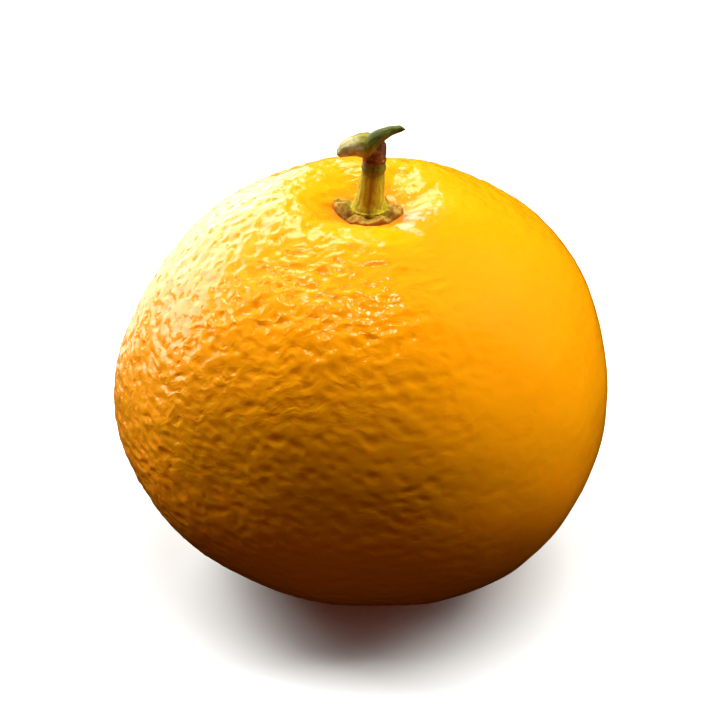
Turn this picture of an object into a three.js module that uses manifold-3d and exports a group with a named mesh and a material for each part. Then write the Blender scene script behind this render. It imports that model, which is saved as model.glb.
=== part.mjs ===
// A whole yuzu as picked: the fruit, its calyx, the fruit stalk, a stub of the twig it hung from and the
// snipped stalk of the leaf beside it.
//
// Millimetres, +Z up. The fruit stands on its blossom end, -Y is its front. Shapes are worked out about
// the middle of the fruit's equator, and the finished group is set down with the middle of its box's
// underside at the origin.
import * as THREE from "three";
import { mergeVertices } from "three/addons/utils/BufferGeometryUtils.js";
import Module from "manifold-3d";

const DEGREE = Math.PI / 180;
const UP = new THREE.Vector3(0, 0, 1);

// ---- Driving dimensions --------------------------------------------------------------------------

const FRUIT = {
  equatorRadius: 33.6,
  topHeight: 32.6, // equator to the shoulders, before the stem's hollow is pressed in
  bottomHeight: 25.9, // equator to the blossom end
  squareness: 2.15, // exponent of the outline: 2 is an ellipse, more is boxier
  segments: 10, // juice segments, which show as faint ribs
  ribHeight: 0.12,
  frequency: 17, // each of the 20 starting triangles is cut into (frequency + 1) squared
  poleGather: 0.35, // how far the mesh is drawn together at both ends, where the shape is busiest
};

// An uneven fruit: each swelling (or flat, where height is negative) has a place, in degrees round from
// +X and up from the equator, a spread in degrees and a height.
const SWELLINGS = [
  { azimuth: 21, elevation: 32, spread: 21, height: 1.3 },
  { azimuth: 41, elevation: 49, spread: 16, height: 0.1 },
  { azimuth: 75, elevation: 59, spread: 20, height: 0.9 },
  { azimuth: 80, elevation: 61, spread: 9, height: -0.8 },
  { azimuth: 148, elevation: 42, spread: 20, height: 0.3 },
  { azimuth: 180, elevation: 0, spread: 20, height: 1.6 },
  { azimuth: 222, elevation: -48, spread: 18, height: -0.3 },
  { azimuth: 319, elevation: -49, spread: 20, height: 1.3 },
  { azimuth: 282, elevation: 22, spread: 24, height: 0.7 },
  { azimuth: 240, elevation: 8, spread: 18, height: -0.5 },
  { azimuth: 310, elevation: -5, spread: 18, height: 0.4 },
  { azimuth: 75, elevation: -12, spread: 26, height: 0.9 },
  { azimuth: 118, elevation: 8, spread: 18, height: -0.4 },
  { azimuth: 35, elevation: -30, spread: 20, height: -0.4 },
];

const STEM_HOLLOW = {
  lean: 1, // the stem stands this many degrees off the core, towards +X
  depth: 4.6,
  spread: 11.5, // degrees from the stem
  collarHeight: 0.5, // the rim round the hollow
  collarAngle: 21,
  collarSpread: 7,
};

// Folds that run out of the stem's hollow, by their direction round the stem and their strength.
const FOLDS = [
  { azimuth: 8, depth: 0.55 },
  { azimuth: 52, depth: 0.45 },
  { azimuth: 118, depth: 0.5 },
  { azimuth: 171, depth: 0.4 },
  { azimuth: 226, depth: 0.45 },
  { azimuth: 300, depth: 0.3 },
];
const FOLD = { width: 1.7, start: 6, end: 27 }; // width in millimetres, reach in degrees from the stem

const BLOSSOM_END = {
  dimpleDepth: 1.6,
  dimpleSpread: 6.5, // degrees from the bottom
  footPress: 0.7, // how much the fruit's own weight flattens what it stands on
};

const CALYX = {
  gap: 0.3, // clear of the skin under it
  thickness: 1.35,
  crown: 0.5, // the extra height of its middle, where the stalk stands
  notch: 3.1, // from the middle to where two lobes meet
  lobeHalfWidth: 38,
  lobes: [
    { azimuth: -116, reach: 4.4 },
    { azimuth: -58, reach: 4.3 },
    { azimuth: 4, reach: 4.7 },
    { azimuth: 84, reach: 4.5 },
    { azimuth: 172, reach: 5.5 },
  ],
};

const STALK = {
  gap: 0.3, // clear of the calyx under it
  baseRadius: 2.25,
  waistRadius: 1.75,
  topRadius: 1.6,
  rise: 6.2, // from the calyx to the underside of the twig's joint
  lean: 0.65, // how far the top stands towards +X of the foot
};

// The twig's stub is an upright joint with the broken twig growing out of its side. Each path is
// measured from the middle of the joint's underside, and each radius belongs to the point of its path.
const TWIG = {
  gap: 0.3, // clear of the stalk under it
  joint: {
    path: [[0, 0, 0], [0.05, 0, 1.3], [0.15, 0, 2.5], [0.25, 0, 3.6]],
    radii: [1.55, 1.65, 1.5, 0.95],
  },
  broken: {
    path: [[0.1, 0.1, 2.1], [-1.2, -0.25, 2.6], [-2.9, -0.7, 2.55], [-4.2, -1.15, 2.05], [-5.2, -1.5, 1.45]],
    radii: [1.2, 1.7, 1.45, 1.05, 0.6],
  },
};

const LEAF_STALK = {
  gap: 0.3, // clear of the joint that it grew from
  path: [[-0.8, -1.5, 1.8], [-0.65, -1.6, 3], [0.1, -1.05, 4], [1.8, -0.35, 4.75], [3.85, 0.1, 5.2]],
  radii: [0.8, 1.2, 1.05, 0.8, 0.45],
  section: [1.15, 0.9], // its width and its thickness, as shares of the radius
};

// Each limb's edge at both ends is eased: the end's radius as a share, and how far along the easing runs.
const LIMB_END = { share: 0.82, inset: 0.02 };

// ---- The fruit's skin ----------------------------------------------------------------------------

const bell = (x, spread) => Math.exp(-((x / spread) ** 2));
const rise = (x, from, to) => THREE.MathUtils.smoothstep(x, from, to);
const turnBetween = (a, b) => THREE.MathUtils.euclideanModulo(a - b + 180, 360) - 180;

function directionAt(azimuth, elevation) {
  const level = Math.cos(elevation * DEGREE);
  return new THREE.Vector3(
    level * Math.cos(azimuth * DEGREE),
    level * Math.sin(azimuth * DEGREE),
    Math.sin(elevation * DEGREE),
  );
}

const stemDirection = directionAt(0, 90 - STEM_HOLLOW.lean);
const swellings = SWELLINGS.map((s) => ({ ...s, at: directionAt(s.azimuth, s.elevation) }));

function foldsAt(direction, fromStem) {
  const across = direction.clone().multiplyScalar(FRUIT.topHeight);
  across.sub(stemDirection.clone().multiplyScalar(FRUIT.topHeight));
  const reach = rise(fromStem, FOLD.start, FOLD.start + 4) * (1 - rise(fromStem, FOLD.start + 6, FOLD.end));
  let depth = 0;
  for (const fold of FOLDS) {
    const line = directionAt(fold.azimuth, 0);
    const along = across.dot(line);
    const beside = line.x * across.y - line.y * across.x;
    if (along > 0) depth += fold.depth * bell(beside, FOLD.width);
  }
  return depth * reach;
}

// The distance from the middle of the equator to the skin in a direction.
function skinRadius(direction) {
  const level = Math.hypot(direction.x, direction.y);
  const height = direction.z > 0 ? FRUIT.topHeight : FRUIT.bottomHeight;
  const power = FRUIT.squareness;
  let radius =
    ((level / FRUIT.equatorRadius) ** power + (Math.abs(direction.z) / height) ** power) ** (-1 / power);
  for (const s of swellings) radius += s.height * bell(direction.angleTo(s.at) / DEGREE, s.spread);

  const fromStem = direction.angleTo(stemDirection) / DEGREE;
  radius -= STEM_HOLLOW.depth * bell(fromStem, STEM_HOLLOW.spread);
  radius += STEM_HOLLOW.collarHeight * bell(fromStem - STEM_HOLLOW.collarAngle, STEM_HOLLOW.collarSpread);
  radius -= foldsAt(direction, fromStem);

  const round = Math.atan2(direction.y, direction.x);
  radius += FRUIT.ribHeight * level ** 2 * Math.cos(FRUIT.segments * round);

  const fromBottom = 180 - direction.angleTo(UP) / DEGREE;
  return radius - BLOSSOM_END.dimpleDepth * bell(fromBottom, BLOSSOM_END.dimpleSpread);
}

const footLevel = -FRUIT.bottomHeight + BLOSSOM_END.footPress;

function skinPoint(direction) {
  const point = direction.clone().multiplyScalar(skinRadius(direction));
  point.z = Math.max(point.z, footLevel);
  return point;
}

// A point over the skin, where a thing laid on the fruit round its stem has its own surface:
// out is the distance from the stem, across the skin.
function overSkin(azimuth, out, height) {
  const aside = directionAt(azimuth, 0).multiplyScalar(out);
  const direction = stemDirection.clone().multiplyScalar(FRUIT.topHeight).add(aside).normalize();
  const point = direction.clone().multiplyScalar(skinRadius(direction));
  point.z += height;
  return point;
}

// ---- Making meshes -------------------------------------------------------------------------------

function reshape(geometry, move) {
  const places = geometry.getAttribute("position");
  const vertex = new THREE.Vector3();
  for (let i = 0; i < places.count; i++) {
    const moved = move(vertex.fromBufferAttribute(places, i));
    places.setXYZ(i, moved.x, moved.y, moved.z);
  }
  geometry.computeVertexNormals();
  return geometry;
}

function piece(name, geometry, material) {
  const mesh = new THREE.Mesh(geometry, material);
  mesh.name = name;
  return mesh;
}

// A round limb along a path, with a radius at each point of the path. swell is added all round, and
// section is its width and its thickness as shares of the radius.
function limb({ path, radii, section = [1, 1] }, from, sides, swell = 0) {
  const curve = new THREE.CatmullRomCurve3(path.map((p) => new THREE.Vector3(...p).add(from)));
  const girth = new THREE.SplineCurve(radii.map((radius, i) => new THREE.Vector2(radius + swell, i)));
  const steps = 5 * (path.length - 1);
  const outline = [new THREE.Vector2(0, 0), new THREE.Vector2(radii[0] * LIMB_END.share + swell, 0)];
  for (let i = 0; i <= steps; i++) {
    const along = LIMB_END.inset + (1 - 2 * LIMB_END.inset) * (i / steps);
    outline.push(new THREE.Vector2(girth.getPoint(i / steps).x, along));
  }
  outline.push(new THREE.Vector2(radii.at(-1) * LIMB_END.share + swell, 1), new THREE.Vector2(0, 1));
  const front = new THREE.Vector3(0, -1, 0);
  return reshape(new THREE.LatheGeometry(outline, sides), (vertex) => {
    const tangent = curve.getTangent(vertex.y);
    const side = new THREE.Vector3().crossVectors(front, tangent).normalize();
    const face = new THREE.Vector3().crossVectors(tangent, side);
    const beyond = swell * ((vertex.y === 1) - (vertex.y === 0));
    return curve
      .getPoint(vertex.y)
      .addScaledVector(tangent, beyond)
      .addScaledVector(side, vertex.x * section[1])
      .addScaledVector(face, -vertex.z * section[0]);
  });
}

// ---- Joining and cutting solids ------------------------------------------------------------------

const solids = await Module();
solids.setup();

function toSolid(geometry) {
  const bare = new THREE.BufferGeometry().setAttribute("position", geometry.getAttribute("position"));
  const merged = mergeVertices(bare.setIndex(geometry.index), 1e-4);
  return new solids.Manifold(
    new solids.Mesh({
      numProp: 3,
      vertProperties: merged.getAttribute("position").array,
      triVerts: new Uint32Array(merged.index.array),
    }),
  );
}

function toGeometry(solid) {
  const { numProp, vertProperties, triVerts } = solid.getMesh();
  const places = new THREE.InterleavedBuffer(vertProperties, numProp);
  const geometry = new THREE.BufferGeometry();
  geometry.setAttribute("position", new THREE.InterleavedBufferAttribute(places, 3, 0));
  geometry.setIndex(new THREE.BufferAttribute(triVerts, 1));
  geometry.computeVertexNormals();
  return geometry;
}

// ---- The pieces ----------------------------------------------------------------------------------

function makeFruit(material) {
  const gather = FRUIT.poleGather / 2;
  const geometry = reshape(new THREE.IcosahedronGeometry(1, FRUIT.frequency), (vertex) => {
    const polar = vertex.angleTo(UP);
    const drawn = polar - gather * Math.sin(2 * polar);
    return skinPoint(directionAt(Math.atan2(vertex.y, vertex.x) / DEGREE, 90 - drawn / DEGREE));
  });
  return piece("fruit", geometry, material);
}

function calyxReach(azimuth) {
  let reach = CALYX.notch;
  for (const lobe of CALYX.lobes) {
    const turn = Math.abs(turnBetween(azimuth, lobe.azimuth)) / CALYX.lobeHalfWidth;
    if (turn < 1) {
      const swell = Math.cos((turn * Math.PI) / 2) ** 0.7;
      reach = Math.max(reach, CALYX.notch + (lobe.reach - CALYX.notch) * swell);
    }
  }
  return reach;
}

// A lobed cushion draped on the skin, from a sphere whose upper half becomes its top.
function makeCalyx(material) {
  const geometry = reshape(new THREE.SphereGeometry(1, 70, 12).rotateX(Math.PI / 2), (vertex) => {
    const azimuth = Math.atan2(vertex.y, vertex.x) / DEGREE;
    const share = Math.hypot(vertex.x, vertex.y);
    const top = CALYX.thickness + CALYX.crown * bell(share, 0.6);
    const height = CALYX.gap + (vertex.z > 0 ? top * vertex.z ** 0.8 : 0);
    return overSkin(azimuth, share * calyxReach(azimuth), height);
  });
  return piece("calyx", geometry, material);
}

const stalkFoot = overSkin(0, 0, CALYX.gap + CALYX.thickness + CALYX.crown + STALK.gap);
const jointFoot = stalkFoot.clone().add(new THREE.Vector3(STALK.lean, 0, STALK.rise + TWIG.gap));

function makeStalk(material) {
  const { baseRadius, waistRadius, topRadius, rise: length, lean } = STALK;
  const path = [[0, 0, 0], [0.1, 0, length * 0.17], [0.35, 0, length * 0.55], [lean, 0, length]];
  const radii = [baseRadius, baseRadius * 0.9, waistRadius, topRadius];
  return piece("fruit_stalk", limb({ path, radii }, stalkFoot, 28), material);
}

// The joint and the broken twig as one solid, each swollen by the same amount all round.
function twigSolid(swell) {
  const joint = toSolid(limb(TWIG.joint, jointFoot, 28, swell));
  return joint.add(toSolid(limb(TWIG.broken, jointFoot, 24, swell)));
}

function makeTwig(material) {
  return piece("twig_stub", toGeometry(twigSolid(0)), material);
}

// The leaf's stalk clasps the joint: it is cut to the joint's own shape, with the gap all round.
function makeLeafStalk(material) {
  const whole = toSolid(limb(LEAF_STALK, jointFoot, 20));
  return piece("leaf_stalk_stub", toGeometry(whole.subtract(twigSolid(LEAF_STALK.gap))), material);
}

// ---- Assembly ------------------------------------------------------------------------------------

const finish = (color, roughness) => new THREE.MeshStandardMaterial({ color, roughness, metalness: 0 });

const rind = finish(0xf9a909, 0.42);
const calyxTan = finish(0xb07a2a, 0.75);
const stalkGreen = finish(0x9c8216, 0.6);
const barkTan = finish(0xb89a5e, 0.8);
const leafGreen = finish(0x54591a, 0.55);

const yuzu = new THREE.Group();
yuzu.add(
  makeFruit(rind),
  makeCalyx(calyxTan),
  makeStalk(stalkGreen),
  makeTwig(barkTan),
  makeLeafStalk(leafGreen),
);

const box = new THREE.Box3().setFromObject(yuzu, true);
const middle = box.getCenter(new THREE.Vector3());
yuzu.position.set(-middle.x, -middle.y, -box.min.z);

export default yuzu;
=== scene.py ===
"""A ripe yuzu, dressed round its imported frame: rind, calyx, stalk, broken twig and leaf stalk."""
import math
import random

import bmesh
import bpy
import numpy as np
from bpy.props import FloatProperty, FloatVectorProperty, IntProperty, PointerProperty
from mathutils import Matrix, Vector, kdtree, noise
from mathutils.bvhtree import BVHTree


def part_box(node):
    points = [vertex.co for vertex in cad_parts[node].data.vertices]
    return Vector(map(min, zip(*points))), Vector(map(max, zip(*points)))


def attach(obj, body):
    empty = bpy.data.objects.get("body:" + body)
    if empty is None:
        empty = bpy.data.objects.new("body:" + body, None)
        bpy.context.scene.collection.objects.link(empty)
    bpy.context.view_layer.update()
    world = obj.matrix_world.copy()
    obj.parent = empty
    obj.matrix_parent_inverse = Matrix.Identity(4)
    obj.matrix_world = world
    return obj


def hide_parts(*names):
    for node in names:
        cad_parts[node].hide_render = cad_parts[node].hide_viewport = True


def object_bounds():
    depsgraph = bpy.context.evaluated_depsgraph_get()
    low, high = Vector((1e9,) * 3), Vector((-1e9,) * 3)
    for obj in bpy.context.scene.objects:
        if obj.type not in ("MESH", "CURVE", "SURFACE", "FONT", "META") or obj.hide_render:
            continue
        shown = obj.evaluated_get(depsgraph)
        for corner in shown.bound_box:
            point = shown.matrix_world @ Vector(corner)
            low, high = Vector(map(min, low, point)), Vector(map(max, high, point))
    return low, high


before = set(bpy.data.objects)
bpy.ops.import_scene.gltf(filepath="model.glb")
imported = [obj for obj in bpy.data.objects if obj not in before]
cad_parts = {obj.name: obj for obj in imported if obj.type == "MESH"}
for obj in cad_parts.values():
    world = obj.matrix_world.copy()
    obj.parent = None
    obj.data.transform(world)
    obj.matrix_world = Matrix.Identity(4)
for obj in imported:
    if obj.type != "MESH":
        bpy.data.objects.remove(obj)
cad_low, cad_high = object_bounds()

bl_info = {
    "name": "Yuzu",
    "version": (1, 0, 0),
    "blender": (4, 5, 0),
    "location": "3D View > Sidebar > Yuzu",
    "description": "Builds the rind, calyx, stalk, twig and leaf stalk of a yuzu, and its stage",
    "category": "Object",
}

MM = 0.001  # a millimetre; sizes are in metres, but in millimetres where a name or a comment says so
NOISE_KIND = "PERLIN_ORIGINAL"

# ---- Places that the frame gives ------------------------------------------------------------------

fruit_low, fruit_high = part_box("fruit")
calyx_low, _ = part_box("calyx")
stalk_low, stalk_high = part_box("fruit_stalk")
twig_low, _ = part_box("twig_stub")

EQUATOR_HEIGHT = 0.442 * fruit_high.z  # where the fruit is widest
HEART = Vector((0.0, 0.0, EQUATOR_HEIGHT))  # the middle that the rind is shaped round
RADIUS = (fruit_high.x - fruit_low.x) / 2.0
CRINKLED_WAY = Vector((-0.22, -0.16, 0.1))  # towards the side whose rind is the most crinkled
SHOULDER_WAY = Vector((-0.68, -0.1, 0.72))  # towards the smoother left shoulder
SOFT_WAY = Vector((0.1, -0.75, -0.6))  # towards the softer rind low on the front
BALL_TURN = Matrix.Rotation(math.radians(-20.0), 3, "Z")  # keeps the ball's seams off the crinkled side
BALL_GATHER = 0.07  # how far the ball's rings gather at its two ends, in radians
GLAND_LOOSENESS = 0.42  # how far the glands stray from even rows, as a share of their spacing
DIMPLE_REACH = 2.1  # a gland's dimple against the gland's own radius
DIMPLE_SHAPE = Vector((0.65, 0.65, 1.15))  # dimples are wider than they are high
STALK_FOOT_RADIUS = 2.25 * MM
STALK_FOOT = Vector(
    (stalk_low.x + STALK_FOOT_RADIUS, (stalk_low.y + stalk_high.y) / 2, stalk_low.z)
)
STALK_LEAN = 0.65 * MM
JOINT_FOOT = Vector((STALK_FOOT.x + STALK_LEAN, STALK_FOOT.y, twig_low.z))
STEM = Vector((STALK_FOOT.x, STALK_FOOT.y, calyx_low.z))  # where the stem meets the rind


# ---- Small helpers --------------------------------------------------------------------------------


def smooth(value, low, high):
    """0 below low, 1 above high, and an even rise between them."""
    share = min(max((value - low) / (high - low), 0.0), 1.0)
    return share * share * (3.0 - 2.0 * share)


def bell(value, spread):
    """1 at 0, and less and less away from it on both sides."""
    return math.exp(-((value / spread) ** 2))


def turn_from(angle, middle):
    """The angle from middle to angle, between minus and plus half a turn."""
    return (angle - middle + math.pi) % (2.0 * math.pi) - math.pi


def on_wheel(around, radius, along):
    """A place in noise that joins up with itself after one turn."""
    return Vector((radius * math.cos(around), radius * math.sin(around), along))


def cloud(point, size_mm, seed=0.0, octaves=3):
    """Soft noise from about -1 to 1, whose patches are size_mm wide; size_mm may be (x, y, z)."""
    size = size_mm if isinstance(size_mm, tuple) else (size_mm,) * 3
    place = Vector((point[i] / (size[i] * MM) + seed for i in range(3)))
    return noise.fractal(place, 0.8, 2.1, octaves, noise_basis=NOISE_KIND)


def above_equator(point):
    """How far a place is above the fruit's widest level, in radii of the fruit."""
    return (point.z - EQUATOR_HEIGHT) / RADIUS


def hit(surface, start, way):
    """Where a ray first meets a surface."""
    place, _, _, _ = surface.ray_cast(start, way)
    if place is None:
        raise RuntimeError("a ray missed the frame's fruit")
    return place


def new_piece(name, mesh, node, finish):
    """Makes a piece of a finished mesh, which stands for a node of the frame."""
    mesh.name = name
    for polygon in mesh.polygons:
        polygon.use_smooth = True
    piece = bpy.data.objects.new(name, mesh)
    bpy.context.scene.collection.objects.link(piece)
    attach(piece, "root")
    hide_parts(node)
    mesh.materials.append(finish)
    return piece


def store(mesh, name, values):
    """Keeps one number or one vector for each vertex, for the material to read."""
    values = np.asarray(values, np.float32)
    if values.ndim == 1:
        mesh.attributes.new(name, "FLOAT", "POINT").data.foreach_set("value", values)
    else:
        mesh.attributes.new(name, "FLOAT_VECTOR", "POINT").data.foreach_set("vector", values.ravel())


class Shader:
    """A material's node tree, with short calls for the nodes that the finishes use."""

    def __init__(self, name):
        self.material = bpy.data.materials.new(name)
        self.material.use_nodes = True
        self.tree = self.material.node_tree
        self.surface = self.tree.nodes["Principled BSDF"]
        self.place = self.add("ShaderNodeTexCoord").outputs["Object"]

    def add(self, kind, inputs=None, **settings):
        node = self.tree.nodes.new(kind)
        for key, value in settings.items():
            setattr(node, key, value)
        for key, value in (inputs or {}).items():
            self.plug(node.inputs[key], value)
        return node

    def plug(self, socket, value):
        if isinstance(value, bpy.types.NodeSocket):
            self.tree.links.new(value, socket)
        else:
            socket.default_value = value

    def set(self, **values):
        """Sets or links the surface's own sockets."""
        for key, value in values.items():
            self.plug(self.surface.inputs[key.replace("_", " ")], value)

    def math(self, operation, a, b=0.0, c=0.0, clamp=False):
        node = self.add("ShaderNodeMath", {0: a, 1: b, 2: c}, operation=operation, use_clamp=clamp)
        return node.outputs[0]

    def span(self, value, low, high, to_low=0.0, to_high=1.0):
        """Maps low to to_low and high to to_high, smoothly, and holds beyond them."""
        inputs = {
            "Value": value,
            "From Min": low,
            "From Max": high,
            "To Min": to_low,
            "To Max": to_high,
        }
        return self.add("ShaderNodeMapRange", inputs, interpolation_type="SMOOTHSTEP").outputs[0]

    def mix(self, share, a, b):
        """Colour a where the share is 0, and colour b where it is 1."""
        return self.add("ShaderNodeMix", {0: share, 6: a, 7: b}, data_type="RGBA").outputs[2]

    def attribute(self, name, output="Fac"):
        return self.add("ShaderNodeAttribute", attribute_name=name).outputs[output]

    def split(self, vector, axis):
        return self.add("ShaderNodeSeparateXYZ", {0: vector}).outputs[axis]

    def vectors(self, operation, a, b, output="Vector"):
        """Works out a vector from two, or one number if the output is Value."""
        return self.add("ShaderNodeVectorMath", {0: a, 1: b}, operation=operation).outputs[output]

    def stretch(self, vector, scale):
        return self.vectors("MULTIPLY", vector, scale)

    def noise(self, size_mm, detail=3.0, roughness=0.55, distortion=0.0, vector=None):
        """Soft noise from 0 to 1, whose patches are size_mm wide."""
        inputs = {
            "Vector": vector or self.place,
            "Scale": 1.0 / (size_mm * MM),
            "Detail": detail,
            "Roughness": roughness,
            "Distortion": distortion,
        }
        return self.add("ShaderNodeTexNoise", inputs).outputs[0]

    def cells(self, size_mm, vector):
        """Many scattered points, size_mm apart, with the distance to the nearest in those sizes."""
        inputs = {"Vector": vector, "Scale": 1.0 / (size_mm * MM)}
        return self.add("ShaderNodeTexVoronoi", inputs).outputs

    def hollows(self, size_mm, vector, floor=0.22, edge=0.5):
        """Flat-bottomed hollows from 0 to 1, size_mm apart, some deep and others hardly there."""
        cells = self.cells(size_mm, vector)
        depth = self.add("ShaderNodeSeparateColor", {0: cells["Color"]}).outputs[0]
        depth = self.math("POWER", depth, 0.9)
        return self.math("MULTIPLY", self.span(cells["Distance"], floor, edge, 1.0, 0.0), depth)

    def bump(self, height_mm):
        """Relief whose height is given in millimetres."""
        inputs = {"Height": height_mm, "Distance": MM, "Strength": 1.0}
        return self.add("ShaderNodeBump", inputs).outputs[0]

    def double_bump(self, a, a_mm, b, b_mm):
        """Relief of two patterns, each with its own height."""
        a, b = self.math("MULTIPLY", a, a_mm), self.math("MULTIPLY", b, b_mm)
        return self.bump(self.math("ADD", a, b))


def rgb(colour):
    """A colour with the fourth number that sockets want."""
    return (*colour, 1.0)


# ---- The rind -------------------------------------------------------------------------------------


def fruit_surface():
    """A smooth copy of the frame's fruit, to cast rays on."""
    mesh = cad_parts["fruit"].data.copy()
    shape = bmesh.new()
    shape.from_mesh(mesh)
    bmesh.ops.remove_doubles(shape, verts=shape.verts, dist=0.005 * MM)
    shape.to_mesh(mesh)
    shape.free()
    copy = bpy.data.objects.new("smooth_fruit", mesh)
    bpy.context.scene.collection.objects.link(copy)
    rounding = copy.modifiers.new("Rounding", "SUBSURF")
    rounding.levels = 2
    rounding.render_levels = 2
    graph = bpy.context.evaluated_depsgraph_get()
    surface = BVHTree.FromObject(copy, graph)
    bpy.data.objects.remove(copy)
    bpy.data.meshes.remove(mesh)
    return surface


def ball(cuts, gather):
    """A ball of small squares, smallest at the stem, at the blossom end and on the crinkled side."""
    shape = bmesh.new()
    bmesh.ops.create_cube(shape, size=2.0)
    bmesh.ops.subdivide_edges(shape, edges=shape.edges[:], cuts=cuts, use_grid_fill=True)
    for vertex in shape.verts:
        even = Vector((math.tan(c * math.pi / 4.0) for c in vertex.co)).normalized()
        polar = math.acos(max(-1.0, min(1.0, even.z)))
        polar -= gather * math.sin(2.0 * polar)
        level = math.hypot(even.x, even.y)
        ring = math.sin(polar) / level if level > 1e-9 else 0.0
        vertex.co = BALL_TURN @ Vector((even.x * ring, even.y * ring, math.cos(polar))) + CRINKLED_WAY
        vertex.co.normalize()
    return shape


def scattered(surface, spacing, looseness, seed):
    """Points all over the fruit, spacing apart but loosely placed."""
    draw = random.Random(seed)
    count = int(4.0 * math.pi * RADIUS**2 / (0.9 * spacing**2))
    golden = math.pi * (3.0 - math.sqrt(5.0))
    found = []
    for i in range(count):
        height = 1.0 - 2.0 * (i + 0.5) / count
        level = math.sqrt(1.0 - height * height)
        way = Vector((level * math.cos(golden * i), level * math.sin(golden * i), height))
        way += Vector((draw.uniform(-1.0, 1.0) for _ in range(3))) * looseness * spacing / RADIUS
        found.append(hit(surface, HEART, way.normalized()))
    return found


def crinkling(point):
    """How crinkled the rind is, from 0 to 1: least on the right, left shoulder and low front."""
    up = above_equator(point)
    left = -point.x / RADIUS + 0.25 * cloud(point, 20.0, seed=3.7) - 0.3 * smooth(up, -0.1, 0.35)
    left += 0.8 * smooth(point.y / RADIUS, 0.05, 0.6)
    amount = 0.17 + 0.48 * smooth(left, -0.85, -0.2) + 0.12 * smooth(left, 0.2, 0.8)
    way = (point - HEART).normalized()
    shoulder = bell((way - SHOULDER_WAY).length, 0.42)
    below = smooth(way.dot(SOFT_WAY), 0.18, 0.66)
    stem = 0.45 * (1.0 - smooth((point - STEM).length / MM, 11.0, 17.0))
    return max(amount * (1.0 - 0.75 * shoulder) * (1.0 - 0.76 * below), stem)


def pitting(point):
    """How deep the dimples round the oil glands are, from 0 to 1."""
    amount = 0.75 - 0.75 * point.x / RADIUS + 0.25 * cloud(point, 15.0, seed=8.1)
    amount += 0.55 * smooth(point.y / RADIUS, -0.15, 0.4)
    return min(max(amount, 0.15), 1.0) * (0.45 + 0.55 * smooth(above_equator(point), -0.6, 0.1))


def unrolled(point):
    """A place along the skin in millimetres, where wrinkles run level, or rise from the left."""
    out = point - HEART
    climb = math.atan2(out.z, math.hypot(out.x, out.y)) * RADIUS / MM
    slant = 0.45 * max(0.0, -point.x - 0.1 * RADIUS) / MM
    drift = Vector((cloud(point, 7.0, seed=s) for s in (1.3, 7.9, 4.1))) * 1.5
    return Vector((point.x / MM, point.y / MM, climb + slant)) + drift


def drawn_out(place, length, size, seed):
    """A place in noise whose patches are length millimetres long and size millimetres high."""
    return Vector((place.x / length + seed, place.y / length + seed, place.z / size + seed))


def wrinkles(place, size, seed):
    """Long wrinkles with thin crests, from about -0.6 to 0.4, about size millimetres high."""
    spot = drawn_out(place, 2.6 * size, size, seed)
    crest = 1.0 - abs(2.0 * noise.noise(spot, noise_basis=NOISE_KIND)) ** 0.85
    return crest - 0.6


def bowls(place, size, seed):
    """Long shallow bowls side by side, from about -0.6 to 0.5, about size millimetres high."""
    distances, _ = noise.voronoi(drawn_out(place, 2.2 * size, size, seed))
    return 1.6 * distances[0] - 0.7


def relief(point, skin, amount, settings):
    """The rind's rise above the smooth fruit, in millimetres, but for the dimples of its oil glands."""
    size = settings.wrinkle_size / MM
    wave = bowls(skin, 1.2 * size, 7.3)
    wave += 0.6 * wrinkles(skin, size, 2.2)
    wave += 0.3 * wrinkles(skin, 1.8 * size, 5.1)
    wave += 0.45 * cloud(point, 4.0, seed=9.4)
    height = settings.wrinkle_height / MM * amount * wave

    # broad soft swells
    height += 0.18 * cloud(point, 13.0, seed=5.5, octaves=2)

    # beads and upright streaks along the lower left flank
    flank = smooth(-point.x / RADIUS, 0.45, 0.9) * smooth(-above_equator(point), -0.3, 0.25)
    height += 0.09 * flank * cloud(point, (1.7, 1.7, 4.0), seed=6.1)

    # puckers that run out of the stem's hollow
    from_stem = (point - STEM).length / MM
    around = math.atan2(point.y - STEM.y, point.x - STEM.x)
    pucker = noise.fractal(on_wheel(around, 2.4, from_stem / 9.0), 0.9, 2.0, 3, noise_basis=NOISE_KIND)
    reach = smooth(from_stem, 4.0, 6.5) * (1.0 - smooth(from_stem, 10.0, 18.0))
    height += 0.24 * reach * pucker

    # the style's scar in the blossom end's dimple
    if point.z < EQUATOR_HEIGHT:
        from_end = math.hypot(point.x, point.y) / MM
        height += 0.7 * bell(from_end, 0.9) - 0.25 * bell(from_end - 1.9, 0.5)
    return height - 0.1


def dimples(point, tree, sizes):
    """How deep a place lies in the dimples round it: the gland's radius at each one's middle."""
    sunk = 0.0
    bend = Vector((cloud(point, 2.2, seed=s, octaves=2) for s in (3.1, 6.2, 8.7)))
    point = point + 0.6 * MM * bend  # keeps the dimples from being quite round
    for place, index, _ in tree.find_range(point, DIMPLE_REACH * max(sizes) / DIMPLE_SHAPE.x):
        offset = (point - place) * DIMPLE_SHAPE
        wide = offset.length / (DIMPLE_REACH * sizes[index])
        if wide < 1.0:
            sunk += sizes[index] * (1.0 - wide * wide) ** 2
    return sunk


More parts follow.
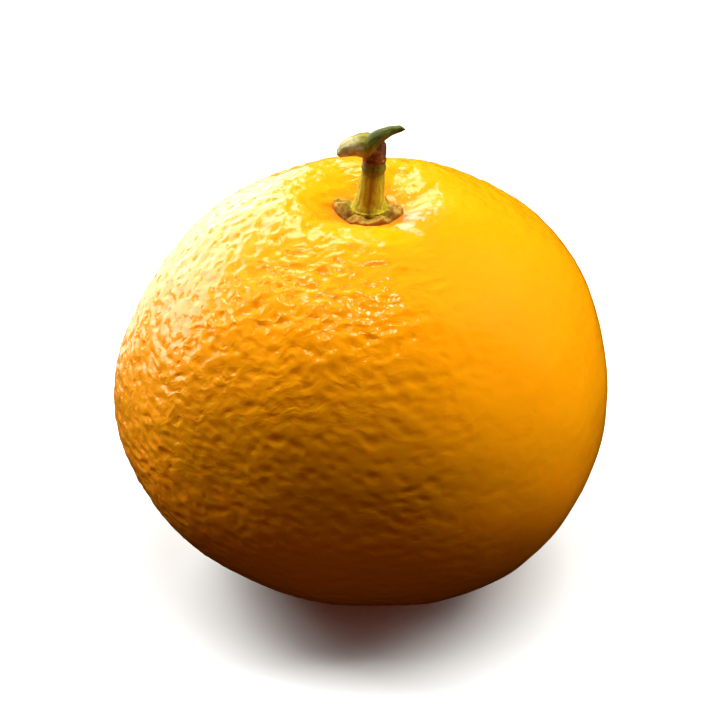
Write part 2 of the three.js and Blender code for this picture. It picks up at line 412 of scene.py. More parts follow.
def make_rind(settings):
    surface = fruit_surface()
    shape = ball(settings.cuts, BALL_GATHER)
    for vertex in shape.verts:
        vertex.co = hit(surface, HEART, vertex.co)
    shape.normal_update()

    draw = random.Random(11)
    glands = scattered(surface, settings.gland_spacing, GLAND_LOOSENESS, 4)
    sizes = [settings.gland_radius * draw.uniform(0.6, 1.15) for _ in glands]
    tree = kdtree.KDTree(len(glands))
    for i, place in enumerate(glands):
        tree.insert(place, i)
    tree.balance()

    kept = {"crinkle": [], "skin": [], "pit": [], "rise": []}
    for vertex in shape.verts:
        amount = crinkling(vertex.co)
        skin = unrolled(vertex.co)
        height = relief(vertex.co, skin, amount, settings)
        sunk = pitting(vertex.co) * dimples(vertex.co, tree, sizes) / settings.gland_radius
        kept["crinkle"].append(amount)
        kept["skin"].append(skin * MM)
        kept["pit"].append(sunk)
        kept["rise"].append(height - settings.dimple_depth / MM * sunk)

        # the rind dips out of sight under the calyx, and stays within the frame's box
        hidden = 0.35 * (1.0 - smooth((vertex.co - STEM).length / MM, 3.0, 4.5))
        vertex.co += vertex.normal * ((height - hidden) * MM - settings.dimple_depth * sunk)
        vertex.co.x = min(max(vertex.co.x, cad_low.x), cad_high.x)
        vertex.co.y = min(max(vertex.co.y, cad_low.y), cad_high.y)
        vertex.co.z = max(vertex.co.z, 0.0)
    mesh = bpy.data.meshes.new("rind")
    shape.to_mesh(mesh)
    shape.free()
    for name, values in kept.items():
        store(mesh, name, values)
    return new_piece("rind", mesh, "fruit", rind_finish(settings))


def rind_finish(settings):
    """Waxy rind: golden, with painted shade that makes it darker and oranger below, and with oil
    glands, dimples and fine creases.
    """
    s = Shader("waxy_rind")
    place = s.place
    crinkle = s.attribute("crinkle")
    drift = s.add("ShaderNodeTexNoise", {"Vector": place, "Scale": 1.0 / (1.8 * MM), "Detail": 2.0})
    drift = s.vectors("SUBTRACT", drift.outputs["Color"], (0.5, 0.5, 0.5))
    drift = s.stretch(drift, (2.2 * MM, 2.2 * MM, 1.6 * MM))
    bent = s.vectors("ADD", place, drift)

    # small round dots of the oil glands, which show most on the smooth left shoulder
    toward = s.vectors("DISTANCE", place, tuple(HEART + RADIUS * SHOULDER_WAY), "Value")
    dots = s.span(toward, 0.4 * RADIUS, 0.9 * RADIUS, 1.6, 0.0)
    dots = s.math("MULTIPLY", s.hollows(1.6, bent, 0.14, 0.38), dots, clamp=True)

    # painted shade: darker and oranger towards the blossom end, in soft patches
    height = s.span(s.split(place, "Z"), 0.1 * cad_high.z, 0.8 * cad_high.z)
    mottle = s.span(s.noise(5.0, 4.0, 0.6), 0.3, 0.7, -0.04, 0.04)
    # ripe is only the height that sets this painted shade
    ripe = s.math("ADD", height, mottle)
    lower_shade = s.mix(s.span(ripe, 0.0, 0.55), rgb(settings.low_shade_colour), rgb(settings.middle_colour))
    colour = s.mix(s.span(ripe, 0.6, 1.0), lower_shade, rgb(settings.top_colour))

    # painted highlight: paler crests of the wrinkles
    crest = s.math("MULTIPLY", s.span(s.attribute("rise"), -0.15, 0.25, 0.0, 0.4), crinkle)
    colour = s.mix(crest, colour, rgb(settings.crest_highlight_colour))
    # darker glands and dimples: partly the glands' own darker colour, partly painted shade in the
    # dimples and the shoulder's dots
    pit = s.span(s.attribute("pit"), 0.35, 1.0)
    pit = s.math("MAXIMUM", s.math("MULTIPLY", pit, 0.35), s.math("MULTIPLY", dots, 0.8))
    colour = s.mix(pit, colour, rgb(settings.gland_and_pit_shade_colour))

    # painted shade: darker, redder rind round the calyx
    from_stem = s.vectors("DISTANCE", place, STEM, "Value")
    calyx_shade = s.span(from_stem, 4.2 * MM, 7.5 * MM, 0.6, 0.0)
    colour = s.mix(calyx_shade, colour, rgb(settings.calyx_shade_colour))

    s.set(Base_Color=colour)
    s.set(Roughness=s.span(s.noise(1.6, 3.0), 0.3, 0.7, 0.45, 0.6))
    s.set(IOR=1.45, Specular_Tint=rgb(settings.gloss_colour), Specular_IOR_Level=0.2)
    s.set(Coat_Weight=s.span(dots, 0.0, 1.0, 0.8, 0.05), Coat_Roughness=0.1, Coat_IOR=1.5)
    s.set(Subsurface_Weight=0.35, Subsurface_Radius=(1.0, 0.35, 0.06), Subsurface_Scale=2.5 * MM)

    # small uneven hollows and soft grain that the mesh is too coarse for
    skin = s.vectors("ADD", s.attribute("skin", "Vector"), drift)
    long = s.stretch(skin, (0.5, 0.5, 1.0))
    hollows = s.math("MULTIPLY", s.hollows(1.1, long), s.span(crinkle, 0.15, 0.8, -0.014, -0.052))
    grain = s.noise(0.8, 2.0, 0.4, vector=long)
    grain = s.math("MULTIPLY", grain, s.span(crinkle, 0.15, 0.8, 0.014, 0.035))
    thread = s.math("SUBTRACT", s.noise(1.3, 1.0, 0.5, vector=long), 0.5)
    thread = s.span(s.math("ABSOLUTE", thread), 0.0, 0.14, 0.03, 0.0)
    relief = s.math("ADD", s.math("ADD", hollows, grain), s.math("MULTIPLY", thread, crinkle))
    normal = s.bump(s.math("ADD", relief, s.math("MULTIPLY", dots, -0.08)))
    s.set(Normal=normal, Coat_Normal=normal)
    return s.material


# ---- Limbs of the stem ----------------------------------------------------------------------------


class Limb:
    """A round limb along a smooth path, in metres, with a radius at each of its points."""

    STEPS = 160

    def __init__(self, path_mm, radii_mm, foot, section=(1.0, 1.0)):
        self.points = [Vector(p) * MM + foot for p in path_mm]
        self.radii = [r * MM for r in radii_mm]
        self.section = section
        self.line = [self.point(i / self.STEPS) for i in range(self.STEPS + 1)]
        self.tree = kdtree.KDTree(len(self.line))
        for i, place in enumerate(self.line):
            self.tree.insert(place, i)
        self.tree.balance()
        self.length = sum((b - a).length for a, b in zip(self.line, self.line[1:]))

    def blend(self, values, share):
        """The smooth curve through a list of values, at a share of its way."""
        spot = min(max(share, 0.0), 1.0) * (len(values) - 1)
        i = min(int(spot), len(values) - 2)
        t = spot - i
        b, c = values[i], values[i + 1]
        a = values[i - 1] if i > 0 else b + b - c
        d = values[i + 2] if i + 2 < len(values) else c + c - b
        bend = 2.0 * a - 5.0 * b + 4.0 * c - d
        return b + 0.5 * t * (c - a + t * (bend + t * (3.0 * (b - c) + d - a)))

    def point(self, share):
        return self.blend(self.points, share)

    def radius(self, share):
        return self.blend(self.radii, share)

    def directions(self, share):
        """Along, sideways and outwards at a share of the way."""
        along = (self.point(min(share + 0.01, 1.0)) - self.point(max(share - 0.01, 0.0))).normalized()
        side = Vector((0.0, -1.0, 0.0)).cross(along).normalized()
        return along, side, along.cross(side)

    def lie(self, place):
        """Where a place is on the limb: share of the way, and sideways and outward distances."""
        _, index, _ = self.tree.find(place)
        share = index / self.STEPS
        along, side, out = self.directions(share)
        offset = place - self.line[index]
        share += offset.dot(along) / self.length
        return share, offset.dot(side), offset.dot(out)

    def shape(self, sides, rings, ends=0.1, dome=0.12, slant=0.0):
        """The limb's closed skin, made of a ball. slant tilts its far end, as a share of its radius."""
        skin = bmesh.new()
        bmesh.ops.create_uvsphere(skin, u_segments=sides, v_segments=rings, radius=1.0)
        for vertex in skin.verts:
            row = math.acos(max(-1.0, min(1.0, -vertex.co.z))) / math.pi
            around = math.atan2(vertex.co.y, vertex.co.x)
            share = min(max((row - ends) / (1.0 - 2.0 * ends), 0.0), 1.0)
            edge = min(row, 1.0 - row) / ends
            reach = math.sin(0.5 * math.pi * min(edge, 1.0)) ** 0.8
            radius = self.radius(share) * reach
            along, side, out = self.directions(share)
            swell = dome * self.radius(share) * (1.0 - min(edge, 1.0)) * (1.0 if row > 0.5 else -1.0)
            tilt = slant * radius * math.cos(around) * smooth(share, 0.8, 1.0)
            vertex.co = (
                self.point(share)
                + side * radius * self.section[1] * math.cos(around)
                + out * radius * self.section[0] * math.sin(around)
                + along * (swell + tilt)
            )
        bmesh.ops.recalc_face_normals(skin, faces=skin.faces[:])
        skin.normal_update()
        return skin


def carve(shape, limb, height_mm):
    """Raises a skin by height_mm(share, around, place), and gives each vertex's lie on the limb."""
    shape.normal_update()
    grain = []
    moved = []
    for vertex in shape.verts:
        share, side, out = limb.lie(vertex.co)
        around = math.atan2(out, side)
        grain.append((share * limb.length, side, out))
        moved.append(vertex.co + vertex.normal * height_mm(share, around, vertex.co) * MM)
    for vertex, place in zip(shape.verts, moved):
        vertex.co = place
    return grain


def finish_limb(shape, grain, name, node, finish):
    """Makes the piece of a carved limb, and keeps each vertex's lie on it for the material."""
    mesh = bpy.data.meshes.new(name)
    shape.to_mesh(mesh)
    shape.free()
    store(mesh, "grain", grain)
    return new_piece(name, mesh, node, finish)


# each limb's points, from its foot up or out, and its radius at each of them
STALK_PATH_MM = [
    (-0.02, 0.0, -0.5),
    (0.0, 0.0, 0.1),
    (0.1, 0.0, 1.1),
    (0.35, 0.0, 3.4),
    (0.65, 0.0, 6.9),
]
STALK_RADII_MM = [2.55, 2.35, 2.0, 1.72, 1.56]
JOINT_PATH_MM = [(0.0, 0.0, -0.1), (0.05, 0.0, 1.3), (0.15, 0.0, 2.5), (0.25, 0.0, 3.6)]
JOINT_RADII_MM = [1.5, 1.62, 1.5, 0.95]
TWIG_PATH_MM = [
    (0.1, 0.1, 2.0),
    (-1.1, -0.3, 2.75),
    (-2.6, -0.7, 2.8),
    (-3.8, -1.1, 2.5),
    (-4.8, -1.4, 2.05),
]
TWIG_RADII_MM = [1.35, 1.75, 1.5, 1.15, 0.6]
LEAF_PATH_MM = [
    (-0.9, -0.9, 2.0),
    (-0.65, -1.05, 3.1),
    (0.25, -0.9, 4.1),
    (1.9, -0.4, 4.8),
    (3.8, 0.1, 5.2),
]
LEAF_RADII_MM = [0.8, 1.15, 1.1, 0.8, 0.44]
LEAF_SECTION = (1.15, 0.9)  # the leaf stalk is a little flat


def make_stalk(settings):
    limb = Limb(STALK_PATH_MM, STALK_RADII_MM, STALK_FOOT)

    def height(share, around, place):
        wheel = on_wheel(around, 1.6, 1.4 * share)
        ribs = 0.09 * noise.fractal(wheel, 0.8, 2.2, 3, noise_basis=NOISE_KIND)
        ribs -= 0.13 * bell(turn_from(around, 1.45), 0.2)
        collar = 0.22 * bell(share - 0.13, 0.05) * (0.7 + 0.5 * math.cos(5.0 * around + 0.8))
        ring = 0.14 * bell(share - 0.93, 0.025) - 0.1 * bell(share - 0.885, 0.02)
        return ribs + collar + ring + 0.05 * cloud(place, 0.7, seed=1.1)

    shape = limb.shape(96, 110, ends=0.08)
    grain = carve(shape, limb, height)
    return finish_limb(shape, grain, "stalk", "fruit_stalk", stalk_finish(settings))


def joined(shapes, voxel, rounds):
    """Several closed skins as one, with their joins eased."""
    mesh = bpy.data.meshes.new("joined")
    whole = bmesh.new()
    for shape in shapes:
        shape.to_mesh(mesh)
        shape.free()
        whole.from_mesh(mesh)
    whole.to_mesh(mesh)
    whole.free()
    holder = bpy.data.objects.new("joined", mesh)
    bpy.context.scene.collection.objects.link(holder)
    remesh = holder.modifiers.new("One skin", "REMESH")
    remesh.mode = "VOXEL"
    remesh.voxel_size = voxel
    graph = bpy.context.evaluated_depsgraph_get()
    result = bmesh.new()
    result.from_mesh(holder.evaluated_get(graph).to_mesh())
    bpy.data.objects.remove(holder)
    bpy.data.meshes.remove(mesh)
    for _ in range(rounds):
        bmesh.ops.smooth_vert(
            result, verts=result.verts, factor=0.5, use_axis_x=True, use_axis_y=True, use_axis_z=True
        )
    return result


def make_twig(settings):
    joint = Limb(JOINT_PATH_MM, JOINT_RADII_MM, JOINT_FOOT)
    twig = Limb(TWIG_PATH_MM, TWIG_RADII_MM, JOINT_FOOT)
    shape = joined([joint.shape(64, 48), twig.shape(64, 64, ends=0.06, dome=0.5)], 0.075 * MM, 6)

    def height(share, around, place):
        wheel = on_wheel(around, 1.3, 1.1 * share)
        fibres = 0.06 * noise.fractal(wheel * 1.6, 0.8, 2.3, 4, noise_basis=NOISE_KIND)
        fibres *= smooth(share, 0.15, 0.4)
        tear = smooth(share, 0.86, 1.0)
        ragged = 0.2 * tear * cloud(place, (1.2, 0.7, 0.7), seed=8.8)
        knots = 0.16 * cloud(place, 2.0, seed=2.7, octaves=2) + 0.02 * cloud(place, 0.5, seed=6.3)
        rings = 0.0
        if share <= 0.3:
            level = (place.z - JOINT_FOOT.z) / MM
            rings = 0.1 * bell(level - 0.35, 0.22) - 0.09 * bell(level - 0.85, 0.18)
        return fibres + ragged + knots + rings

    grain = carve(shape, twig, height)
    return finish_limb(shape, grain, "twig", "twig_stub", twig_finish(settings))


def make_leaf_stalk(settings):
    limb = Limb(LEAF_PATH_MM, LEAF_RADII_MM, JOINT_FOOT, LEAF_SECTION)

    def height(share, around, place):
        groove = -0.16 * bell(turn_from(around, 1.9), 0.45)
        groove *= smooth(share, 0.2, 0.45) * (1.0 - smooth(share, 0.9, 1.0))
        wheel = on_wheel(around, 1.8, 1.3 * share)
        lines = 0.06 * noise.fractal(wheel, 0.8, 2.2, 3, noise_basis=NOISE_KIND)
        return groove + lines + 0.03 * cloud(place, 0.5, seed=3.3)

    shape = limb.shape(64, 90, ends=0.06, dome=0.05, slant=-0.8)
    grain = carve(shape, limb, height)
    finish = leaf_finish(settings)
    return finish_limb(shape, grain, "leaf_stalk", "leaf_stalk_stub", finish)


# ---- The calyx ------------------------------------------------------------------------------------

# the middle of each lobe, in degrees round from +X, and how far it reaches, in millimetres
LOBES = [(-122.0, 4.3), (-64.0, 4.4), (0.0, 4.6), (80.0, 4.5), (168.0, 5.1)]
LOBE_HALF_WIDTH = 44.0
NOTCH_MM = 3.6  # how far the calyx reaches between two lobes
UNDERSIDE_MM = -0.45  # how deep the calyx sits in the rind


def lobe_at(azimuth):
    """The calyx's reach in a direction, in millimetres, and how near that is to a lobe's middle."""
    near, length = 0.0, 0.0
    for middle, reach in LOBES:
        turn = abs((azimuth - middle + 180.0) % 360.0 - 180.0) / LOBE_HALF_WIDTH
        swell = math.cos(0.5 * math.pi * min(turn, 1.0)) ** 2
        near += swell
        length += swell * reach
    total = NOTCH_MM
    if near > 0.01:
        total += (length - NOTCH_MM * near) * min(near, 1.0) ** -0.4
    return total, min(near, 1.0)


def make_calyx(settings):
    surface = fruit_surface()
    shape = bmesh.new()
    bmesh.ops.create_uvsphere(shape, u_segments=224, v_segments=72, radius=1.0)
    lobe, rim = [], []
    for vertex in shape.verts:
        azimuth = math.atan2(vertex.co.y, vertex.co.x)
        share = min(math.hypot(vertex.co.x, vertex.co.y), 1.0)
        reach, nearness = lobe_at(math.degrees(azimuth))
        out = Vector((math.cos(azimuth), math.sin(azimuth), 0.0))
        reach *= 1.0 + 0.08 * noise.noise(2.6 * out) + 0.03 * noise.noise(7.0 * out)
        spot = Vector((STEM.x, STEM.y, 0.0)) + out * share * reach * MM
        ground = hit(surface, Vector((spot.x, spot.y, cad_high.z)), Vector((0.0, 0.0, -1.0)))
        rise = UNDERSIDE_MM
        if vertex.co.z > 0.0:
            cushion = 1.45 + 0.35 * bell(share, 0.45) + 0.5 * nearness * bell(share - 0.72, 0.22)
            valley = 0.85 * (1.0 - nearness) * smooth(share, 0.45, 0.75)
            lumps = 0.6 * cloud(spot, 1.5, seed=4.4, octaves=2) + 0.25 * cloud(spot, 0.7, seed=9.1)
            rise += vertex.co.z**0.5 * (cushion - valley + lumps * smooth(share, 0.35, 0.6))
        vertex.co = Vector((spot.x, spot.y, ground.z + rise * MM))
        lobe.append(nearness)
        rim.append(share if rise > UNDERSIDE_MM else 1.0)
    bmesh.ops.recalc_face_normals(shape, faces=shape.faces[:])
    mesh = bpy.data.meshes.new("calyx_star")
    shape.to_mesh(mesh)
    shape.free()
    store(mesh, "lobe", lobe)
    store(mesh, "rim", rim)
    return new_piece("calyx_star", mesh, "calyx", calyx_finish(settings))


# ---- Finishes of the stem -------------------------------------------------------------------------


def along_grain(s, lie, stretch):
    """The limb's own coordinates, drawn out along its length."""
    return s.stretch(lie, (1.0 / stretch, 1.0, 1.0))


def stalk_finish(settings):
    """Olive-green stalk with browned patches and painted shade down the groove on its front, fine lines
    along it and a brown top ring.
    """
    s = Shader("stalk_skin")
    lie = s.attribute("grain", "Vector")
    lines = s.noise(0.5, 4.0, 0.65, vector=along_grain(s, lie, 5.0))
    patches = s.noise(1.8, 3.0)
    colour = s.mix(s.span(lines, 0.35, 0.65), rgb(settings.stalk_dark), rgb(settings.stalk_colour))
    colour = s.mix(s.span(patches, 0.5, 0.8, 0.0, 0.5), colour, rgb(settings.stalk_brown_and_shade))

    # painted shade down the groove on the front, a dark ring at the top, and pale specks
    front = s.span(s.split(lie, "Z"), 0.2 * MM, 1.2 * MM)
    from_groove = s.math("ABSOLUTE", s.math("SUBTRACT", s.split(lie, "Y"), 0.2 * MM))
    groove = s.span(from_groove, 0.1 * MM, 0.5 * MM, 0.75, 0.0)
    colour = s.mix(s.math("MULTIPLY", groove, front), colour, rgb(settings.stalk_brown_and_shade))
    ring = s.span(s.split(lie, "X"), 6.1 * MM, 6.8 * MM, 0.0, 0.65)
    colour = s.mix(ring, colour, rgb(settings.leaf_dark))
    specks = s.span(s.cells(0.6, s.place)["Distance"], 0.1, 0.25, 0.3, 0.0)
    colour = s.mix(specks, colour, rgb(settings.stalk_light))

    s.set(Base_Color=colour, Roughness=s.span(lines, 0.3, 0.7, 0.45, 0.62))
    s.set(IOR=1.45, Specular_IOR_Level=0.25, Normal=s.double_bump(lines, 0.12, specks, 0.04))
    return s.material


def twig_finish(settings):
    """Dry bark: tan with brown fibres, a painted cream highlight and painted shade, torn dark end, and
    a reddish-brown joint.
    """
    s = Shader("dry_bark")
    lie = s.attribute("grain", "Vector")
    length = s.split(lie, "X")
    outward = s.split(lie, "Z")
    fibres = s.noise(0.45, 5.0, 0.7, vector=along_grain(s, lie, 6.0))
    patches = s.noise(1.3, 4.0, 0.6, 0.5)

    # bark with painted highlight in patches on its front side and painted shade on its back side, and
    # greener towards the joint
    bark = s.mix(s.span(fibres, 0.35, 0.62), rgb(settings.bark_dark_and_shade), rgb(settings.bark_colour))
    highlight_patches = s.span(patches, 0.35, 0.6, 0.3, 0.95)
    front_highlight = s.math("MULTIPLY", s.span(outward, -0.4 * MM, 0.6 * MM), highlight_patches)
    bark = s.mix(front_highlight, bark, rgb(settings.bark_highlight))
    # painted shade on the back side of the bark
    bark = s.mix(s.span(outward, -1.1 * MM, 0.0, 0.75, 0.0), bark, rgb(settings.bark_dark_and_shade))
    green = s.mix(s.span(fibres, 0.4, 0.6), rgb(settings.leaf_green), rgb(settings.stalk_dark))
    bark = s.mix(s.span(length, 1.7 * MM, 3.4 * MM, 0.85, 0.0), bark, green)

    # the joint, then the bark, then the torn end
    joint = s.mix(s.span(patches, 0.35, 0.65), rgb(settings.joint_colour), rgb(settings.joint_red))
    joint = s.mix(s.span(fibres, 0.5, 0.75, 0.0, 0.6), joint, rgb(settings.stalk_colour))
    colour = s.mix(s.span(length, 0.6 * MM, 1.6 * MM), joint, bark)
    colour = s.mix(s.span(length, 5.4 * MM, 6.2 * MM, 0.0, 0.8), colour, rgb(settings.bark_dark_and_shade))

    s.set(Base_Color=colour, Roughness=s.span(fibres, 0.3, 0.7, 0.6, 0.85))
    s.set(IOR=1.42, Specular_IOR_Level=0.25, Normal=s.double_bump(fibres, 0.12, patches, 0.06))
    return s.material


def leaf_finish(settings):
    """Dark green leaf stalk, with fine lines along it and a pale cut tip."""
    s = Shader("leaf_stalk_skin")
    lie = s.attribute("grain", "Vector")
    length = s.split(lie, "X")
    lines = s.noise(0.4, 4.0, 0.65, vector=along_grain(s, lie, 6.0))
    patches = s.noise(1.5, 3.0)
    colour = s.mix(s.span(lines, 0.35, 0.65), rgb(settings.leaf_dark), rgb(settings.leaf_green))
    colour = s.mix(s.span(length, 1.0 * MM, 3.2 * MM, 0.7, 0.0), colour, rgb(settings.stalk_dark))
    colour = s.mix(s.span(patches, 0.5, 0.8, 0.0, 0.4), colour, rgb(settings.stalk_brown_and_shade))
    colour = s.mix(s.span(length, 6.6 * MM, 6.85 * MM), colour, rgb(settings.leaf_cut))
    s.set(Base_Color=colour, Roughness=s.span(lines, 0.3, 0.7, 0.38, 0.55))
    s.set(IOR=1.45, Specular_IOR_Level=0.25, Normal=s.bump(s.math("MULTIPLY", lines, 0.1)))
    return s.material


def calyx_finish(settings):
    """Dry tan lobes, paler on the left, with brown rims that are partly painted shade, painted shade in
    the valleys, and an olive middle.
    """
    s = Shader("dry_calyx")
    lobe = s.attribute("lobe")
    rim = s.attribute("rim")
    patches = s.noise(1.0, 4.0, 0.65, 0.4)
    fine = s.noise(0.35, 4.0, 0.7)
    colour = s.mix(s.span(patches, 0.35, 0.65), rgb(settings.calyx_colour), rgb(settings.calyx_pale))
    left = s.span(s.split(s.place, "X"), -2.6 * MM, -0.8 * MM, 0.7, 0.0)
    colour = s.mix(left, colour, rgb(settings.calyx_pale))
    colour = s.mix(s.span(fine, 0.5, 0.75, 0.0, 0.5), colour, rgb(settings.calyx_brown_and_shade))
    # brown rims: partly the lobes' own brown edges, partly painted shade where they meet the rind
    colour = s.mix(s.span(rim, 0.93, 1.0, 0.0, 0.8), colour, rgb(settings.calyx_brown_and_shade))
    # painted shade in the valleys between the lobes
    valley = s.math("MULTIPLY", s.span(lobe, 0.2, 0.55, 0.7, 0.0), s.span(rim, 0.5, 0.7))
    colour = s.mix(valley, colour, rgb(settings.calyx_brown_and_shade))
    colour = s.mix(s.span(rim, 0.5, 0.68, 0.8, 0.0), colour, rgb(settings.stalk_colour))
    s.set(Base_Color=colour, Roughness=s.span(patches, 0.3, 0.7, 0.6, 0.8))
    s.set(IOR=1.42, Specular_IOR_Level=0.25, Normal=s.double_bump(fine, 0.16, patches, 0.12))
    return s.material


# ---- The stage ------------------------------------------------------------------------------------


LIGHT_DISTANCE = 0.75
DAYLIGHT = (0.92, 1.0, 0.85)
GLINT = (1.0, 0.85, 0.6)

# each light's name, the way to it from the fruit, its width and height, its power and its colour
BODY_LIGHTS = (
    ("window", (-0.67, 0.48, 0.56), 0.5, 0.5, 11.2, DAYLIGHT),
    ("top_box", (0.0, 0.0, 1.0), 0.5, 0.5, 3.1, DAYLIGHT),
    ("right_box", (0.6, 0.2, 0.8), 0.6, 0.6, 7.4, DAYLIGHT),
    ("low_right_box", (0.9, 0.3, 0.4), 0.5, 0.5, 2.6, DAYLIGHT),
    ("front_fill", (-0.1, -0.85, 0.5), 0.5, 0.5, 0.26, (1.0, 0.65, 0.45)),
)
WAX_LIGHTS = (
    ("window_glow", (-0.61, 0.74, 0.27), 0.9, 0.45, 5.2, (0.92, 0.86, 0.96)),
    ("rim_card", (-0.42, 0.9, -0.14), 0.4, 0.35, 1.0, (1.0, 0.9, 0.8)),
    ("back_lamp", (-0.2, 0.6, 0.77), 0.3, 0.3, 1.7, (1.0, 0.92, 0.85)),
    ("glint_lamp_0", (-0.3, -0.25, 0.92), 0.09, 0.09, 0.4, GLINT),
    ("glint_lamp_1", (0.05, -0.15, 0.99), 0.09, 0.09, 0.65, GLINT),
    ("glint_lamp_2", (-0.45, 0.05, 0.89), 0.09, 0.09, 0.5, GLINT),
    ("glint_lamp_3", (-0.75, 0.1, 0.62), 0.09, 0.09, 0.5, GLINT),
    ("glint_lamp_4", (-0.93, 0.2, 0.25), 0.09, 0.09, 0.35, GLINT),
)
ROOM_COLOUR = (1.0, 0.62, 0.45)
VIEW_CENTRE = 0.46  # the height that the camera looks at, as a share of the whole height


def aimed(thing, place, target):
    """Puts a light or a camera in its place, turned to the target."""
    thing.location = place
    thing.rotation_euler = (Vector(target) - Vector(place)).to_track_quat("-Z", "Y").to_euler()
    bpy.context.scene.collection.objects.link(thing)
    return thing


def soft_box(name, way, width, height, power, colour):
    """A soft light at a distance from the fruit, turned to it."""
    lamp = bpy.data.lights.new(name, "AREA")
    lamp.shape = "RECTANGLE"
    lamp.size = width
    lamp.size_y = height
    lamp.energy = power
    lamp.color = colour
    place = HEART + LIGHT_DISTANCE * Vector(way).normalized()
    return aimed(bpy.data.objects.new(name, lamp), place, HEART)


def make_floor(colour):
    """A pale floor that the fruit casts its shadow on, and that casts no light back."""
    shape = bmesh.new()
    bmesh.ops.create_grid(shape, x_segments=1, y_segments=1, size=3.0)
    mesh = bpy.data.meshes.new("floor")
    shape.to_mesh(mesh)
    shape.free()
    floor = bpy.data.objects.new("floor", mesh)
    bpy.context.scene.collection.objects.link(floor)
    s = Shader("pale_floor")
    s.set(Base_Color=rgb(colour), Roughness=0.9, Specular_IOR_Level=0.1)
    floor.data.materials.append(s.material)
    floor.visible_diffuse = False
    floor.visible_glossy = False
    floor.visible_shadow = False


def make_stage(settings):
    """The floor, the lights for the fruit's body and for its wax, the dim room and the camera."""
    make_floor(settings.floor_colour)
    for name, way, width, height, power, colour in BODY_LIGHTS:
        light = soft_box(name, way, width, height, power * settings.light_strength, colour)
        light.visible_glossy = False
    for name, way, width, height, power, colour in WAX_LIGHTS:
        light = soft_box(name, way, width, height, power * settings.light_strength, colour)
        light.visible_diffuse = False

    world = bpy.data.worlds.new("dim_room")
    world.use_nodes = True
    room = world.node_tree.nodes["Background"]
    room.inputs["Color"].default_value = rgb(ROOM_COLOUR)
    room.inputs["Strength"].default_value = settings.room_light
    world.cycles_visibility.glossy = False
    bpy.context.scene.world = world
    bpy.context.scene.view_settings.view_transform = "Standard"

    tilt = math.radians(settings.camera_tilt)
    back = Vector((0.0, -math.cos(tilt), math.sin(tilt)))
    target = Vector((0.0, 0.0, VIEW_CENTRE * cad_high.z))
    lens = bpy.data.cameras.new("long_lens")
    lens.lens = lens.sensor_width * settings.camera_distance / settings.view_width
    lens.clip_start = 0.05
    place = target + back * settings.camera_distance
    bpy.context.scene.camera = aimed(bpy.data.objects.new("camera", lens), place, target)


# ---- Settings -------------------------------------------------------------------------------------


def length_property(name, description, default):
    return FloatProperty(name=name, description=description, default=default, min=0.0, unit="LENGTH")


def colour_property(name, description, default):
    return FloatVectorProperty(
        name=name, description=description, default=default, subtype="COLOR", size=3, min=0.0, max=1.0
    )


class RindSettings(bpy.types.PropertyGroup):
    """Sizes and colours of the rind."""

    cuts: IntProperty(name="Cuts", description="Cuts along each side of the ball's faces", default=127)
    wrinkle_size: length_property("Wrinkle size", "Distance between two wrinkles", 1.2 * MM)
    wrinkle_height: length_property("Wrinkle height", "How far the wrinkles rise and fall", 0.17 * MM)
    gland_spacing: length_property("Gland spacing", "Distance between two oil glands", 2.15 * MM)
    gland_radius: length_property("Gland radius", "Radius of a usual oil gland", 0.46 * MM)
    dimple_depth: length_property("Dimple depth", "Depth of the dimple round a gland", 0.18 * MM)
    top_colour: colour_property("Top", "Rind round the stem", (0.96, 0.31, 0.001))
    middle_colour: colour_property("Middle", "Rind round the equator", (0.96, 0.31, 0.001))
    # painted shade: the rind's colour round the blossom end, darker and oranger
    low_shade_colour: colour_property("Low", "Rind round the blossom end", (0.94, 0.235, 0.001))
    # painted highlight on the wrinkles' crests
    crest_highlight_colour: colour_property("Crests", "Rind on top of its wrinkles", (1.0, 0.34, 0.003))
    # partly the glands' own colour, partly painted shade in their dimples
    gland_and_pit_shade_colour: colour_property("Glands", "Oil glands and pores", (0.9, 0.26, 0.001))
    # painted shade on the rind round the calyx
    calyx_shade_colour: colour_property("Blush", "Rind that touches the calyx", (0.85, 0.2, 0.01))
    gloss_colour: colour_property("Gloss", "Tint of the gloss under the wax", (1.0, 0.6, 0.06))


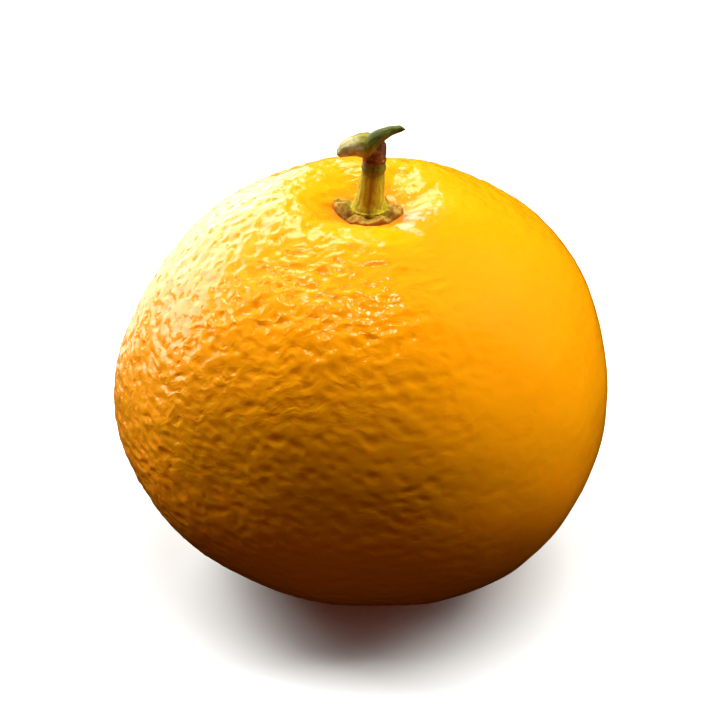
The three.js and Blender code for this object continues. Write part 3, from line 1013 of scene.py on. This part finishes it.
class StemSettings(bpy.types.PropertyGroup):
    """Colours of the calyx, the stalk, the twig and the leaf stalk."""

    calyx_colour: colour_property("Calyx", "Dry lobes of the calyx", (0.34, 0.155, 0.016))
    calyx_pale: colour_property("Calyx, pale", "Paler patches of the calyx", (0.52, 0.3, 0.05))
    # brown specks, and also painted shade in the valleys and partly at the rims
    calyx_brown_and_shade: colour_property("Calyx, brown", "Rims and valleys of the calyx", (0.22, 0.075, 0.01))
    stalk_colour: colour_property("Stalk", "Skin of the fruit's stalk", (0.52, 0.42, 0.02))
    stalk_dark: colour_property("Stalk, dark", "Lines of the fruit's stalk", (0.26, 0.2, 0.01))
    # browned patches, and also painted shade down the stalk's groove
    stalk_brown_and_shade: colour_property("Stalk, brown", "Browned patches of the stalk", (0.22, 0.11, 0.008))
    stalk_light: colour_property("Stalk, light", "Specks on the stalk", (0.62, 0.52, 0.08))
    joint_colour: colour_property("Joint", "Joint above the stalk", (0.1, 0.035, 0.015))
    joint_red: colour_property("Joint, red", "Red patches of the joint", (0.26, 0.06, 0.035))
    bark_colour: colour_property("Bark", "Dry bark of the twig", (0.42, 0.28, 0.08))
    # painted highlight on the bark's front side
    bark_highlight: colour_property("Bark, pale", "Bleached patches of the bark", (0.7, 0.6, 0.32))
    # fibres and the torn end, and also painted shade on the bark's back side
    bark_dark_and_shade: colour_property("Bark, dark", "Fibres and the torn end of the twig", (0.13, 0.06, 0.015))
    leaf_green: colour_property("Leaf stalk", "Skin of the leaf stalk", (0.12, 0.14, 0.022))
    leaf_dark: colour_property("Leaf stalk, dark", "Lines of the leaf stalk", (0.04, 0.045, 0.006))
    leaf_cut: colour_property("Leaf stalk, cut", "Cut tip of the leaf stalk", (0.62, 0.6, 0.3))


class StageSettings(bpy.types.PropertyGroup):
    """Floor, lights and camera."""

    floor_colour: colour_property("Floor", "Plain pale floor", (0.88, 0.83, 0.95))
    light_strength: FloatProperty(name="Lights", description="Strength of all the lights", default=1.0)
    room_light: FloatProperty(name="Room", description="Light from all round", default=0.065)
    camera_tilt: FloatProperty(
        name="Tilt", description="Degrees that the camera looks down", default=30.0
    )
    camera_distance: length_property("Distance", "From the camera to the fruit", 0.6)
    view_width: length_property("View width", "Width of the view at the fruit", 0.1)


# ---- Operators and panel --------------------------------------------------------------------------


class YUZU_OT_rind(bpy.types.Operator):
    """Build the pitted and wrinkled rind round the whole fruit"""

    bl_idname = "yuzu.rind"
    bl_label = "Rind"

    def execute(self, context):
        make_rind(context.scene.yuzu_rind)
        return {"FINISHED"}


class YUZU_OT_calyx(bpy.types.Operator):
    """Build the five-lobed calyx on the rind"""

    bl_idname = "yuzu.calyx"
    bl_label = "Calyx"

    def execute(self, context):
        make_calyx(context.scene.yuzu_stem)
        return {"FINISHED"}


class YUZU_OT_stem(bpy.types.Operator):
    """Build the stalk, the broken twig with its joint, and the leaf stalk"""

    bl_idname = "yuzu.stem"
    bl_label = "Stalk, twig and leaf stalk"

    def execute(self, context):
        settings = context.scene.yuzu_stem
        make_stalk(settings)
        make_twig(settings)
        make_leaf_stalk(settings)
        return {"FINISHED"}


class YUZU_OT_stage(bpy.types.Operator):
    """Build the floor, the lights and the camera"""

    bl_idname = "yuzu.stage"
    bl_label = "Stage"

    def execute(self, context):
        make_stage(context.scene.yuzu_stage)
        return {"FINISHED"}


OPERATORS = (YUZU_OT_rind, YUZU_OT_calyx, YUZU_OT_stem, YUZU_OT_stage)


class YUZU_PT_parts(bpy.types.Panel):
    """Lists what can be built, with its settings"""

    bl_label = "Yuzu"
    bl_idname = "YUZU_PT_parts"
    bl_space_type = "VIEW_3D"
    bl_region_type = "UI"
    bl_category = "Yuzu"

    def draw(self, context):
        for operator in OPERATORS:
            self.layout.operator(operator.bl_idname)
        for settings in (context.scene.yuzu_rind, context.scene.yuzu_stem, context.scene.yuzu_stage):
            box = self.layout.box()
            for key in settings.__annotations__:
                box.prop(settings, key)


CLASSES = (RindSettings, StemSettings, StageSettings, *OPERATORS, YUZU_PT_parts)


def register():
    for cls in CLASSES:
        bpy.utils.register_class(cls)
    bpy.types.Scene.yuzu_rind = PointerProperty(type=RindSettings)
    bpy.types.Scene.yuzu_stem = PointerProperty(type=StemSettings)
    bpy.types.Scene.yuzu_stage = PointerProperty(type=StageSettings)


def unregister():
    del bpy.types.Scene.yuzu_stage
    del bpy.types.Scene.yuzu_stem
    del bpy.types.Scene.yuzu_rind
    for cls in reversed(CLASSES):
        bpy.utils.unregister_class(cls)


def main():
    register()
    bpy.ops.yuzu.rind()
    bpy.ops.yuzu.calyx()
    bpy.ops.yuzu.stem()
    bpy.ops.yuzu.stage()


if __name__ == "__main__":
    main()
